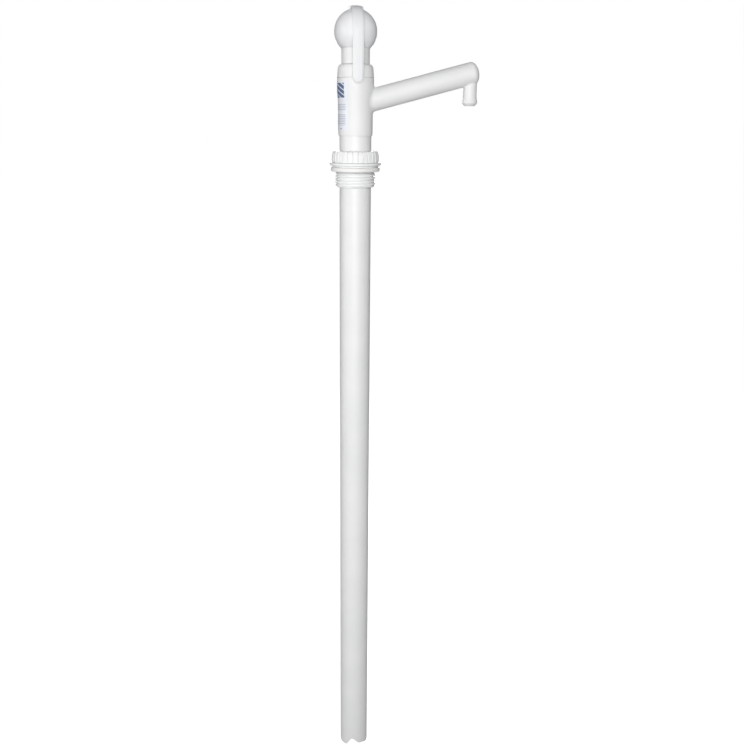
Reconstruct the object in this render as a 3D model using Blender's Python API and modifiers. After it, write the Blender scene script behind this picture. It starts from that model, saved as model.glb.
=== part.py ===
"""Hand lift pump for drums and bilges: a piston on a long rod in a plastic tube, with a ball grip, a side spout and
a threaded bung adaptor that the tube slides and turns in.

Metres, +Z up. The origin is on the tube's axis, at the underside of the bung gasket; +X points along the spout and
-Y is the side with the latch strap. Dimensions below are millimetres, and MM turns them into metres.
"""

import math

import bmesh
import bpy
from mathutils import Matrix, Vector

MM = 0.001
GAP = 0.3                     # clearance between touching pieces
ROUND_STEPS = 40              # facets round a turned piece
INNER_STEPS = 24              # facets round a small or hidden piece

# Suction tube: 1 1/2 inch pipe with a scalloped foot
TUBE_R = 24.15
TUBE_BORE_R = 21.25
TUBE_TOP = 76.0
TUBE_BOTTOM = -1025.0
NOTCH_COUNT = 2
NOTCH_TURN = -15.0            # degrees about the tube, from the strap's side towards -X
NOTCH_HEIGHT = 14.0
NOTCH_STEEP = 29.0            # degrees from the notch's crown to the foot of its steep flank
NOTCH_SLOW = 45.0             # and to the foot of its slow flank
TAIL_TURN = 45.0              # a shallow rise beside the slow flank
TAIL_HALF = 25.0
TAIL_HEIGHT = 3.7

# Pump body
BODY_BOTTOM = 52.6
BODY_CHAMFER_TOP = 59.5
BODY_R = 26.1
TAPER_LOW = 99.0
TAPER_HIGH = 119.0
HEAD_R = 27.6
SEAM_Z = 136.0
SPIGOT_R = 25.0
SPIGOT_TOP = 148.7
CHAMBER_R = 22.0
BUSH_SEAT_Z = 128.7
BUSH_SEAT_R = 17.0
BUSH_BORE_R = 20.0

# Gland cap
CAP_TOP = 155.0
CAP_TOP_R = 26.7
CAP_ROUND = 4.6
CAP_DROP = 7.7                # how far down the rounded shoulder reaches
CAP_WALL_BOTTOM = 149.2

# Plunger rod and grip
ROD_R = 13.35
ROD_BORE_R = 10.5
ROD_BOTTOM = -913.0
ROD_TOP = 199.7
NECK_R = 21.1
NECK_BOTTOM = CAP_TOP + GAP
BALL_R = 31.7
BALL_Z = 201.0
SOCKET_TOP = 205.0

# Latch strap and its hinge
PIN_Y = -3.0
PIN_Z = 233.8
PIN_R = 1.3
KNUCKLE_R = 2.9
EAR_INNER = 8.5
EAR_OUTER = 11.0
STRAP_HALF = 8.2
STRAP_IN_R = 32.4
STRAP_OUT_R = 35.2
STRAP_TIP_Z = 128.0
STRAP_LEAN = 3.2              # how much nearer the axis the tip is than the strap at the ball's middle

# Spout
SPOUT_ROOT_Z = 98.0
SPOUT_RISE = math.radians(14.8)
ARM_R = 16.7
ARM_BORE_R = 14.0
ARM_LENGTH = 184.3            # to where the closed end's dome begins
DOME_HEIGHT = 10.0
DOME_WALL = 2.7
NOZZLE_X = 175.8
NOZZLE_R = 10.25
NOZZLE_BORE_R = 6.5
NOZZLE_TOP = 136.0
NOZZLE_BOTTOM = 97.4

# Bung adaptor
THREAD_R = 30.2
THREAD_ROOT_R = 28.0
THREAD_PITCH = 4.5
THREAD_TOP = -1.0
THREAD_BOTTOM = -23.3
SHANK_R = 28.4
BOSS_R = 35.2                 # the step between flange and gasket
FLANGE_R = 39.1
FLANGE_LOW = 9.0
FLANGE_HIGH = 13.2
GASKET_R = 37.3
GASKET_TOP = 6.4
COLLAR_R = 30.0
COLLAR_TOP = 22.0
ADAPTOR_BORE_R = 24.45
SEAL_SEAT_Z = 17.0
SEAL_SEAT_R = 27.9

# Compression nut
NUT_BOTTOM = FLANGE_HIGH + GAP
NUT_TOP = 30.5
NUT_RIBS = 28
NUT_RIB_R = 35.75
NUT_GROOVE = 1.5
NUT_CAVITY_TOP = 26.2

# Piston, on the rod's end
STEM_R = 5.0
STEM_BOTTOM = -945.0
SHOULDER_BOTTOM = -916.3
PISTON_R = 19.0
PISTON_LOW = -932.0
PISTON_HIGH = -924.0
PORT_R = 3.5
PORT_CIRCLE_R = 12.0
CUP_R = 20.95

# Foot valve
FOOT_TOP = -986.0
SEAT_LOW = -990.0
SEAT_HIGH = -980.0
SEAT_BORE_R = 11.0
CHECK_BALL_R = 13.0
CHECK_BALL_Z = -974.0
CAGE_TOP = -949.0
CAGE_BAR_LOW = -954.7
CAGE_BORE_R = 18.5

# Label, on the side away from the spout
LABEL_LOW = 60.0
LABEL_HIGH = 131.0
LABEL_STANDOFF = 0.1
LABEL_THICKNESS = 0.25
LABEL_FACETS = 14             # how many of the body's facets it covers

for old in list(bpy.data.objects):
    bpy.data.objects.remove(old, do_unlink=True)

pump = bpy.data.collections.new("lift_pump")
cutters = bpy.data.collections.new("cutters")
bpy.context.scene.collection.children.link(pump)
bpy.context.scene.collection.children.link(cutters)


# ---------------------------------------------------------------- materials

def plastic(name, colour, roughness):
    material = bpy.data.materials.new(name)
    material.use_nodes = True
    shader = material.node_tree.nodes["Principled BSDF"]
    shader.inputs["Base Color"].default_value = (*colour, 1.0)
    shader.inputs["Roughness"].default_value = roughness
    shader.inputs["Metallic"].default_value = 0.0
    return material


WHITE = (0.86, 0.86, 0.85)
PIPE_WHITE = (0.82, 0.82, 0.81)
SEAL_WHITE = (0.78, 0.78, 0.76)
DARK_SEAL = (0.05, 0.05, 0.055)


# ---------------------------------------------------------------- shapes

def mesh_object(name, mesh, collection):
    thing = bpy.data.objects.new(name, mesh)
    collection.objects.link(thing)
    return thing


def smooth(thing):
    thing.data.shade_smooth()
    thing.data.set_sharp_from_angle(angle=math.radians(35))


def screw(thing, steps):
    """Turn an outline at +X about Z; an outline that runs down its outer side faces out."""
    turn = thing.modifiers.new("turn", "SCREW")
    turn.axis = "Z"
    turn.angle = math.tau
    turn.steps = steps
    turn.render_steps = steps
    turn.use_merge_vertices = True
    turn.merge_threshold = 0.00001
    turn.use_normal_calculate = False


def turned(name, outline, steps=ROUND_STEPS, closed=True, collection=pump):
    """A turned piece: outline is (radius, height) in mm, down the outer side and back up the inner one."""
    points = [(radius * MM, 0.0, height * MM) for radius, height in outline]
    edges = [(index, index + 1) for index in range(len(points) - 1)]
    if closed:
        edges.append((len(points) - 1, 0))
    mesh = bpy.data.meshes.new(name)
    mesh.from_pydata(points, edges, [])
    thing = mesh_object(name, mesh, collection)
    screw(thing, steps)
    return thing


def ring(name, outer, inner, low, high, steps=ROUND_STEPS, collection=pump):
    return turned(name, [(outer, high), (outer, low), (inner, low), (inner, high)], steps, True, collection)


def arc(centre, radius, start, stop, count):
    """Points of an arc in the outline's plane, from start to stop in degrees."""
    angles = [math.radians(start + (stop - start) * step / count) for step in range(count + 1)]
    return [(centre[0] + radius * math.cos(a), centre[1] + radius * math.sin(a)) for a in angles]


def cylinder(name, radius, low, high, steps=INNER_STEPS):
    """A cutter: a plain cylinder along its own Z."""
    shape = bmesh.new()
    bmesh.ops.create_cone(shape, cap_ends=True, segments=steps, radius1=radius * MM, radius2=radius * MM,
                          depth=(high - low) * MM, matrix=Matrix.Translation((0, 0, (low + high) / 2 * MM)))
    return cutter_from(name, shape)


def block(name, low, high):
    """A cutter: a box between two corners."""
    size = [(b - a) * MM for a, b in zip(low, high)]
    middle = [(a + b) / 2 * MM for a, b in zip(low, high)]
    shape = bmesh.new()
    bmesh.ops.create_cube(shape, size=1.0, matrix=Matrix.Translation(middle) @ Matrix.Diagonal((*size, 1.0)))
    return cutter_from(name, shape)


def prism(name, outline, low, high):
    """A cutter: an outline in its own XY plane, extruded along Z."""
    shape = bmesh.new()
    base = [shape.verts.new((x * MM, y * MM, low * MM)) for x, y in outline]
    face = shape.faces.new(base)
    top = bmesh.ops.extrude_face_region(shape, geom=[face])
    lifted = [item for item in top["geom"] if isinstance(item, bmesh.types.BMVert)]
    bmesh.ops.translate(shape, verts=lifted, vec=(0, 0, (high - low) * MM))
    bmesh.ops.recalc_face_normals(shape, faces=shape.faces)
    return cutter_from(name, shape)


def cutter_from(name, shape):
    mesh = bpy.data.meshes.new(name)
    shape.to_mesh(mesh)
    shape.free()
    return as_cutter(mesh_object(name, mesh, cutters))


def as_cutter(thing):
    thing.hide_render = True
    thing.display_type = "WIRE"
    return thing


def as_part(thing):
    """Make a piece of the pump from a shape that was made as a cutter."""
    thing.hide_render = False
    thing.display_type = "TEXTURED"
    cutters.objects.unlink(thing)
    pump.objects.link(thing)
    return thing


def combine(thing, other, operation):
    change = thing.modifiers.new(other.name, "BOOLEAN")
    change.object = other
    change.operation = operation
    change.solver = "EXACT"


def cut(thing, other):
    combine(thing, other, "DIFFERENCE")


def join(thing, other):
    combine(thing, other, "UNION")


def keep_inside(thing, other):
    combine(thing, other, "INTERSECT")


# Turns a shape made along its own Z to lie along X, along Y, or along the spout.
ALONG_X = Matrix.Rotation(math.radians(90), 4, "Y")
ALONG_Y = Matrix.Rotation(math.radians(90), 4, "X")
ALONG_SPOUT = Matrix.Translation((0, 0, SPOUT_ROOT_Z * MM)) @ Matrix.Rotation(math.pi / 2 - SPOUT_RISE, 4, "Y")
# Turns an outline in (Y, Z) so that its prism's depth runs along X.
SIDE_VIEW = Matrix(((0, 0, 1, 0), (1, 0, 0, 0), (0, 1, 0, 0), (0, 0, 0, 1)))


def place(thing, matrix):
    thing.matrix_world = matrix
    return thing


def axis_empty(name, height=0.0, y=0.0):
    """The frame that a moving body hangs on, with its origin on the joint's axis."""
    frame = bpy.data.objects.new(name, None)
    frame.location = (0.0, y * MM, height * MM)
    frame.empty_display_size = 0.02
    pump.objects.link(frame)
    return frame


def finish(thing, colour, roughness, parent):
    """Give a piece its material and hang it on its body's frame without moving it."""
    thing.data.materials.append(plastic(thing.name, colour, roughness))
    smooth(thing)
    thing.parent = parent
    thing.matrix_parent_inverse = Matrix.Translation(-Vector(parent.location))
    return thing


# ---------------------------------------------------------------- barrel: tube, body, spout

def hump(turn, crown, half):
    """A smooth rise of 1 at its crown that falls to 0 half degrees away."""
    return math.cos(math.pi / 2 * min(1.0, abs(turn - crown) / half)) ** 2


def notch_height(turn):
    """How high the foot is cut away, at an angle in degrees from the notch's crown."""
    flank = NOTCH_STEEP if turn < 0.0 else NOTCH_SLOW
    return NOTCH_HEIGHT * hump(turn, 0.0, flank) + TAIL_HEIGHT * hump(turn, TAIL_TURN, TAIL_HALF)


def foot_notch(name):
    """A cutter whose upper face follows notch_height round the tube; the crown is at -Y."""
    first, last = -NOTCH_STEEP, TAIL_TURN + TAIL_HALF
    count = 22
    shape = bmesh.new()
    rows = []
    for step in range(count + 1):
        turn = first + (last - first) * step / count
        angle = math.radians(turn - 90.0)
        top = TUBE_BOTTOM + notch_height(turn) - 0.1
        section = [(28.0, TUBE_BOTTOM - 5.0), (28.0, top), (17.0, top), (17.0, TUBE_BOTTOM - 5.0)]
        rows.append([shape.verts.new((r * math.cos(angle) * MM, r * math.sin(angle) * MM, z * MM))
                     for r, z in section])
    for one, two in zip(rows, rows[1:]):
        for index in range(4):
            other = (index + 1) % 4
            shape.faces.new((one[index], one[other], two[other], two[index]))
    shape.faces.new(rows[0])
    shape.faces.new(rows[-1])
    bmesh.ops.recalc_face_normals(shape, faces=shape.faces)
    bmesh.ops.triangulate(shape, faces=shape.faces)
    return cutter_from(name, shape)


def suction_tube(parent):
    """One pipe in two solids, so that its short notched foot is followed closely by its own collision."""
    finish(ring("suction_tube", TUBE_R, TUBE_BORE_R, FOOT_TOP + GAP, TUBE_TOP), PIPE_WHITE, 0.35, parent)
    foot = ring("tube_foot", TUBE_R, TUBE_BORE_R, TUBE_BOTTOM, FOOT_TOP)
    for index in range(NOTCH_COUNT):
        turn = math.radians(NOTCH_TURN + 360.0 * index / NOTCH_COUNT)
        cut(foot, place(foot_notch(f"foot_notch_{index}"), Matrix.Rotation(turn, 4, "Z")))
    finish(foot, PIPE_WHITE, 0.35, parent)


def body_outline():
    outer = [(SPIGOT_R, SPIGOT_TOP), (SPIGOT_R, SEAM_Z), (HEAD_R, SEAM_Z), (HEAD_R, TAPER_HIGH),
             (BODY_R, TAPER_LOW), (BODY_R, BODY_CHAMFER_TOP), (TUBE_R + 0.9, BODY_BOTTOM)]
    tube_bore = TUBE_R + GAP
    tube_stop = TUBE_TOP + 2.6
    inner = [(tube_bore, BODY_BOTTOM), (tube_bore, tube_stop), (CHAMBER_R, tube_stop), (CHAMBER_R, 122.0),
             (BUSH_SEAT_R, 126.0), (BUSH_SEAT_R, BUSH_SEAT_Z), (BUSH_BORE_R, BUSH_SEAT_Z),
             (BUSH_BORE_R, SPIGOT_TOP)]
    return outer + inner


def pump_body(parent):
    body = turned("pump_body", body_outline())
    opening = cylinder("spout_opening", ARM_R + GAP, 10.0, 60.0, ROUND_STEPS)
    cut(body, place(opening, ALONG_SPOUT))
    finish(body, WHITE, 0.3, parent)


def gland_cap(parent):
    hole = ROD_R + GAP + 0.05
    shoulder = [(CAP_TOP_R - CAP_ROUND + CAP_ROUND * math.sin(a), CAP_TOP - CAP_DROP + CAP_DROP * math.cos(a))
                for a in (math.radians(18.0 * step) for step in range(6))]
    outline = [(hole, CAP_TOP), *shoulder, (HEAD_R, SEAM_Z + GAP), (SPIGOT_R + GAP, SEAM_Z + GAP),
               (SPIGOT_R + GAP, CAP_WALL_BOTTOM), (hole, CAP_WALL_BOTTOM)]
    finish(turned("gland_cap", outline), WHITE, 0.3, parent)


def gland_parts(parent):
    bore = ROD_R + GAP
    outer = BUSH_BORE_R - GAP
    bush = ring("guide_bush", outer, bore, BUSH_SEAT_Z + GAP, 142.0, INNER_STEPS)
    wiper = turned("wiper_seal", [(outer, 148.9), (outer, 142.3), (bore + 2.0, 142.3), (bore, 145.5), (bore, 148.9)],
                   INNER_STEPS)
    seal = ring("tube_end_seal", TUBE_R, TUBE_BORE_R + 0.5, TUBE_TOP + GAP, TUBE_TOP + 2.3, INNER_STEPS)
    finish(bush, SEAL_WHITE, 0.4, parent)
    finish(wiper, DARK_SEAL, 0.6, parent)
    finish(seal, DARK_SEAL, 0.6, parent)


def dome(radius, height, count):
    """Half of an elliptical end in the outline's plane, from its crown out to the arm's wall."""
    angles = [math.pi / 2 * step / count for step in range(count + 1)]
    points = [(radius * math.sin(a), ARM_LENGTH + height * math.cos(a)) for a in angles]
    points[0] = (0.0, ARM_LENGTH + height)
    return points


def spout(parent):
    outside = dome(ARM_R, DOME_HEIGHT, 6) + [(ARM_R, 8.0)]
    inside = [(ARM_BORE_R, 8.0), *dome(ARM_BORE_R, DOME_HEIGHT - DOME_WALL, 5)[::-1]]
    arm = turned("spout_arm", outside + inside, closed=False)
    place(arm, ALONG_SPOUT)
    cut(arm, cylinder("chamber_clearance", CHAMBER_R, 40.0, 160.0, ROUND_STEPS))
    hole = cylinder("nozzle_hole", NOZZLE_R + GAP, 100.0, 141.0)
    cut(arm, place(hole, Matrix.Translation((NOZZLE_X * MM, 0, 0))))
    finish(arm, WHITE, 0.3, parent)

    outline = [(NOZZLE_R, NOZZLE_TOP), (NOZZLE_R, 112.0), (NOZZLE_R + 0.4, 108.5), (NOZZLE_R + 1.35, 103.2),
               (NOZZLE_R + 1.35, 101.6), (NOZZLE_R - 0.65, 99.2), (7.4, NOZZLE_BOTTOM),
               (NOZZLE_BORE_R - 0.5, NOZZLE_BOTTOM), (NOZZLE_BORE_R, 100.0), (NOZZLE_BORE_R, NOZZLE_TOP)]
    nozzle = turned("outlet_nozzle", outline, INNER_STEPS)
    finish(place(nozzle, Matrix.Translation((NOZZLE_X * MM, 0, 0))), WHITE, 0.3, parent)


def label(parent):
    """A thin sheet that follows the body's facets, on the side away from the spout."""
    facet = math.tau / ROUND_STEPS
    turns = [math.pi + facet * (step - LABEL_FACETS // 2) for step in range(LABEL_FACETS + 1)]
    inner = [(HEAD_R, LABEL_HIGH), (HEAD_R, TAPER_HIGH), (BODY_R, TAPER_LOW), (BODY_R, LABEL_LOW)]
    inner = [(radius + LABEL_STANDOFF, height) for radius, height in inner]
    section = [(radius + LABEL_THICKNESS, height) for radius, height in inner] + inner[::-1]
    shape = bmesh.new()
    rows = []
    for turn in turns:
        row = [shape.verts.new((r * math.cos(turn) * MM, r * math.sin(turn) * MM, z * MM)) for r, z in section]
        rows.append(row)
    count = len(section)
    for one, two in zip(rows, rows[1:]):
        for index in range(count):
            other = (index + 1) % count
            shape.faces.new((one[index], one[other], two[other], two[index]))
    half = count // 2
    for row in (rows[0], rows[-1]):
        for index in range(half - 1):
            shape.faces.new((row[index], row[index + 1], row[count - 2 - index], row[count - 1 - index]))
    bmesh.ops.recalc_face_normals(shape, faces=shape.faces)
    mesh = bpy.data.meshes.new("body_label")
    shape.to_mesh(mesh)
    shape.free()
    finish(mesh_object("body_label", mesh, pump), (0.75, 0.8, 0.88), 0.4, parent)


# ---------------------------------------------------------------- plunger: rod, grip, piston

def grip(parent):
    start = math.degrees(math.asin(-math.sqrt(BALL_R**2 - (NECK_R + GAP) ** 2) / BALL_R))
    surface = arc((0.0, BALL_Z), BALL_R, 90, start, 16)
    surface[0] = (0.0, BALL_Z + BALL_R)
    socket = [(NECK_R + GAP, SOCKET_TOP), (0.0, SOCKET_TOP)]
    ball = turned("ball_grip", surface + socket, closed=False)
    for side, low, high in (("left", -EAR_OUTER, -EAR_INNER), ("right", EAR_INNER, EAR_OUTER)):
        knob = cylinder(f"ear_{side}", KNUCKLE_R, low, high, 20)
        place(knob, Matrix.Translation((0, PIN_Y * MM, PIN_Z * MM)) @ ALONG_X)
        foot = block(f"ear_foot_{side}", (low, PIN_Y - 2.6, PIN_Z - 9.0), (high, PIN_Y + 2.6, PIN_Z - 0.4))
        join(ball, foot)
        join(ball, knob)
    recess = cylinder("knuckle_recess", KNUCKLE_R + 0.4, -EAR_INNER, EAR_INNER, 20)
    cut(ball, place(recess, Matrix.Translation((0, PIN_Y * MM, PIN_Z * MM)) @ ALONG_X))
    bore = cylinder("pin_bore", PIN_R + GAP, -12.0, 12.0, 16)
    cut(ball, place(bore, Matrix.Translation((0, PIN_Y * MM, PIN_Z * MM)) @ ALONG_X))
    finish(ball, WHITE, 0.25, parent)

    bore_r = ROD_R + GAP
    top = SOCKET_TOP - GAP
    outline = [(0.0, top), (NECK_R - 1.0, top), (NECK_R, top - 1.0), (NECK_R, NECK_BOTTOM + 0.6),
               (NECK_R - 0.6, NECK_BOTTOM), (bore_r, NECK_BOTTOM), (bore_r, ROD_TOP + GAP), (0.0, ROD_TOP + GAP)]
    finish(turned("grip_neck", outline, closed=False), WHITE, 0.3, parent)
    finish(ring("piston_rod", ROD_R, ROD_BORE_R, ROD_BOTTOM, ROD_TOP), PIPE_WHITE, 0.35, parent)

    pin = turned("strap_pin", [(0.0, 11.0), (PIN_R, 11.0), (PIN_R, -11.0), (0.0, -11.0)], 16, closed=False)
    place(pin, Matrix.Translation((0, PIN_Y * MM, PIN_Z * MM)) @ ALONG_X)
    finish(pin, (0.6, 0.6, 0.6), 0.3, parent)


def piston(parent, seal):
    spigot = ROD_BORE_R - GAP
    outline = [(0.0, ROD_BOTTOM + 30.0), (spigot, ROD_BOTTOM + 30.0), (spigot, ROD_BOTTOM - GAP),
               (ROD_R, ROD_BOTTOM - GAP), (ROD_R, SHOULDER_BOTTOM), (STEM_R, SHOULDER_BOTTOM),
               (STEM_R, STEM_BOTTOM), (0.0, STEM_BOTTOM)]
    finish(turned("rod_end_fitting", outline, INNER_STEPS, closed=False), WHITE, 0.4, parent)

    disc = ring("piston_disc", PISTON_R, STEM_R + GAP, PISTON_LOW, PISTON_HIGH, INNER_STEPS)
    for index in range(6):
        port = cylinder(f"port_{index}", PORT_R, PISTON_LOW - 2.0, PISTON_HIGH + 2.0, 12)
        turn = Matrix.Rotation(math.radians(60.0 * index), 4, "Z")
        cut(disc, place(port, turn @ Matrix.Translation((PORT_CIRCLE_R * MM, 0, 0))))
    finish(disc, WHITE, 0.4, parent)

    lip_top = PISTON_LOW - GAP
    outline = [(CUP_R, PISTON_HIGH + 2.0), (CUP_R, lip_top - 2.0), (PISTON_R - 2.5, lip_top - 2.0),
               (PISTON_R - 2.5, lip_top), (PISTON_R + GAP, lip_top), (PISTON_R + GAP, PISTON_HIGH + 2.0)]
    finish(turned("piston_cup", outline, INNER_STEPS), DARK_SEAL, 0.6, seal)

    corner = 8.2
    hexagon = [(corner * math.cos(math.tau * side / 6), corner * math.sin(math.tau * side / 6)) for side in range(6)]
    nut = as_part(prism("piston_nut", hexagon, lip_top - 7.0, lip_top))
    cut(nut, cylinder("piston_nut_bore", STEM_R + GAP, lip_top - 9.0, lip_top + 2.0))
    finish(nut, SEAL_WHITE, 0.4, parent)


def piston_valve(parent):
    low = PISTON_HIGH + GAP
    finish(ring("piston_valve_disc", 17.5, STEM_R + GAP, low, low + 2.0, INNER_STEPS), DARK_SEAL, 0.6, parent)


def latch_strap(parent):
    """A band over the ball's front, from the hinge at its crest down to a free tip in front of the body."""
    first, last = 8.0, 90.0
    count = 14
    angles = [math.radians(first + (last - first) * step / count) for step in range(count + 1)]
    outside = [(-STRAP_OUT_R * math.sin(a), BALL_Z + STRAP_OUT_R * math.cos(a)) for a in angles]
    inside = [(-STRAP_IN_R * math.sin(a), BALL_Z + STRAP_IN_R * math.cos(a)) for a in angles]
    tip = [(-STRAP_OUT_R + STRAP_LEAN, STRAP_TIP_Z), (-STRAP_IN_R + STRAP_LEAN, STRAP_TIP_Z)]
    outline = [(PIN_Y, PIN_Z + KNUCKLE_R), *outside, *tip, *inside[::-1], (PIN_Y, PIN_Z)]

    strap = as_part(prism("latch_strap", outline, -STRAP_HALF, STRAP_HALF))
    place(strap, SIDE_VIEW)

    hinge = Matrix.Translation((0, PIN_Y * MM, PIN_Z * MM)) @ ALONG_X
    join(strap, place(cylinder("knuckle", KNUCKLE_R, -STRAP_HALF, STRAP_HALF, 20), hinge))
    cut(strap, place(cylinder("knuckle_bore", PIN_R + GAP, -12.0, 12.0, 16), hinge))
    top = PIN_Z + 12.0
    front = [(-STRAP_HALF, top), *arc((0.0, STRAP_TIP_Z + STRAP_HALF), STRAP_HALF, 180, 360, 16), (STRAP_HALF, top)]
    keep_inside(strap, place(prism("strap_front", front, -10.0, 60.0), ALONG_Y))
    finish(strap, WHITE, 0.3, parent)


# ---------------------------------------------------------------- foot valve

def foot_valve_housing(parent):
    outer = TUBE_BORE_R - GAP
    seat = [(outer, SEAT_HIGH), (outer, SEAT_LOW), (SEAT_BORE_R, SEAT_LOW), (SEAT_BORE_R, SEAT_HIGH - 1.5),
            (SEAT_BORE_R + 1.5, SEAT_HIGH)]
    finish(turned("foot_valve_seat", seat, INNER_STEPS), WHITE, 0.4, parent)

    cage = ring("foot_valve_cage", outer, CAGE_BORE_R, SEAT_HIGH + GAP, CAGE_TOP, INNER_STEPS)
    reach = (outer + CAGE_BORE_R) / 2
    join(cage, block("cage_bar_x", (-reach, -2.5, CAGE_BAR_LOW), (reach, 2.5, CAGE_TOP - 0.5)))
    join(cage, block("cage_bar_y", (-2.5, -reach, CAGE_BAR_LOW), (2.5, reach, CAGE_TOP - 0.5)))
    finish(cage, WHITE, 0.4, parent)


def foot_valve_ball(parent):
    shape = bmesh.new()
    bmesh.ops.create_uvsphere(shape, u_segments=24, v_segments=14, radius=CHECK_BALL_R * MM)
    mesh = bpy.data.meshes.new("foot_valve_ball")
    shape.to_mesh(mesh)
    shape.free()
    ball = mesh_object("foot_valve_ball", mesh, pump)
    ball.location = (0, 0, CHECK_BALL_Z * MM)
    finish(ball, DARK_SEAL, 0.5, parent)


# ---------------------------------------------------------------- bung adaptor and its clamp

def thread_radius(turn, height):
    """Radius of the bung thread: a rounded ridge that climbs one pitch a turn and fades at both ends."""
    phase = math.cos(math.tau * (height / THREAD_PITCH) - turn)
    ridge = 0.5 + 0.5 * max(-1.0, min(1.0, 1.5 * phase))
    fade = min(1.0, (THREAD_TOP - height) / 1.2, (height - THREAD_BOTTOM) / 1.2 + 0.15)
    return THREAD_ROOT_R + (THREAD_R - THREAD_ROOT_R) * ridge * max(0.0, fade)


def bung_adaptor(parent):
    """A turned fitting whose threaded rows follow thread_radius, made as rows of points round the axis."""
    rows = 30
    above = [(SEAL_SEAT_R, COLLAR_TOP), (COLLAR_R, COLLAR_TOP), (COLLAR_R, FLANGE_HIGH), (FLANGE_R - 1.4, FLANGE_HIGH),
             (FLANGE_R - 0.4, FLANGE_HIGH - 0.4), (FLANGE_R, FLANGE_HIGH - 1.4), (FLANGE_R, FLANGE_LOW + 1.4),
             (FLANGE_R - 0.4, FLANGE_LOW + 0.4), (FLANGE_R - 1.4, FLANGE_LOW), (BOSS_R, FLANGE_LOW),
             (BOSS_R, GASKET_TOP + GAP), (SHANK_R, GASKET_TOP + GAP), (SHANK_R, THREAD_TOP + 0.3)]
    heights = [THREAD_TOP + (THREAD_BOTTOM - THREAD_TOP) * step / rows for step in range(rows + 1)]
    below = [(ADAPTOR_BORE_R, THREAD_BOTTOM), (ADAPTOR_BORE_R, SEAL_SEAT_Z), (SEAL_SEAT_R, SEAL_SEAT_Z)]
    shape = bmesh.new()
    columns = []
    for step in range(ROUND_STEPS):
        turn = math.tau * step / ROUND_STEPS
        section = above + [(thread_radius(turn, height), height) for height in heights] + below
        columns.append([shape.verts.new((r * math.cos(turn) * MM, r * math.sin(turn) * MM, z * MM))
                        for r, z in section])
    count = len(columns[0])
    for step in range(ROUND_STEPS):
        one, two = columns[step], columns[(step + 1) % ROUND_STEPS]
        for index in range(count):
            other = (index + 1) % count
            shape.faces.new((one[index], one[other], two[other], two[index]))
    bmesh.ops.recalc_face_normals(shape, faces=shape.faces)
    mesh = bpy.data.meshes.new("bung_adaptor")
    shape.to_mesh(mesh)
    shape.free()
    finish(mesh_object("bung_adaptor", mesh, pump), WHITE, 0.35, parent)
    bore = THREAD_R + GAP
    outline = [(GASKET_R - 1.6, GASKET_TOP), (GASKET_R - 0.5, GASKET_TOP - 0.5), (GASKET_R, GASKET_TOP - 1.6),
               (GASKET_R, 1.6), (GASKET_R - 0.5, 0.5), (GASKET_R - 1.6, 0.0), (bore, 0.0), (bore, GASKET_TOP)]
    finish(turned("bung_gasket", outline), SEAL_WHITE, 0.5, parent)


def clamp_seal(parent):
    outline = [(SEAL_SEAT_R - 1.2, 23.9), (SEAL_SEAT_R - GAP, 20.5), (SEAL_SEAT_R - GAP, SEAL_SEAT_Z + GAP),
               (ADAPTOR_BORE_R, SEAL_SEAT_Z + GAP), (ADAPTOR_BORE_R, 23.9)]
    finish(turned("clamp_seal", outline, INNER_STEPS), DARK_SEAL, 0.6, parent)


def thrust_washer(parent):
    washer = ring("thrust_washer", COLLAR_R - 0.2, ADAPTOR_BORE_R + 0.15, 24.2, NUT_CAVITY_TOP - GAP, INNER_STEPS)
    finish(washer, SEAL_WHITE, 0.4, parent)


def nut_profile(inset):
    """The nut's outside, from its axis at the top to its axis below, moved inwards by inset."""
    side = [(30.0, NUT_TOP), (33.2, 28.4), (35.0, 26.4), (NUT_RIB_R - 0.4, 24.0), (NUT_RIB_R, 20.0),
            (NUT_RIB_R, NUT_BOTTOM)]
    side = [(radius - inset, height) for radius, height in side]
    return [(0.0, NUT_TOP), *side, (0.0, NUT_BOTTOM)]


def compression_nut(parent):
    """A ring whose ribs run up its side and over its rounded shoulder."""
    outline = []
    for rib in range(NUT_RIBS):
        for share, radius in ((0.12, 27.0), (0.17, NUT_RIB_R + 1.0), (0.83, NUT_RIB_R + 1.0), (0.88, 27.0)):
            turn = math.tau * (rib + share) / NUT_RIBS
            outline.append((radius * math.cos(turn), radius * math.sin(turn)))
    nut = as_part(prism("compression_nut", outline, NUT_BOTTOM - 1.0, NUT_TOP + 1.0))
    keep_inside(nut, as_cutter(turned("nut_outside", nut_profile(0.0), closed=False, collection=cutters)))
    join(nut, as_cutter(turned("nut_core", nut_profile(NUT_GROOVE), closed=False, collection=cutters)))
    bore = ADAPTOR_BORE_R + 0.25
    cavity = COLLAR_R + 0.4
    hollow = [(0.0, NUT_TOP + 6.0), (bore, NUT_TOP + 6.0), (bore, NUT_CAVITY_TOP), (cavity, NUT_CAVITY_TOP),
              (cavity, NUT_BOTTOM - 6.0), (0.0, NUT_BOTTOM - 6.0)]
    cut(nut, as_cutter(turned("nut_inside", hollow, closed=False, collection=cutters)))
    finish(nut, WHITE, 0.3, parent)


# ---------------------------------------------------------------- assembly

bung = axis_empty("bung_frame")
nut_carrier = axis_empty("nut_carrier_frame", NUT_BOTTOM)
nut = axis_empty("nut_frame", NUT_BOTTOM)
collar = axis_empty("swivel_frame", SEAL_SEAT_Z)
barrel = axis_empty("barrel_frame")
piston_seal = axis_empty("piston_seal_frame", PISTON_LOW)
plunger = axis_empty("plunger_frame", CAP_TOP)
strap = axis_empty("strap_frame", PIN_Z, PIN_Y)
piston_flap = axis_empty("piston_valve_frame", PISTON_HIGH)
foot_flap = axis_empty("foot_valve_frame", CHECK_BALL_Z)

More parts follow.
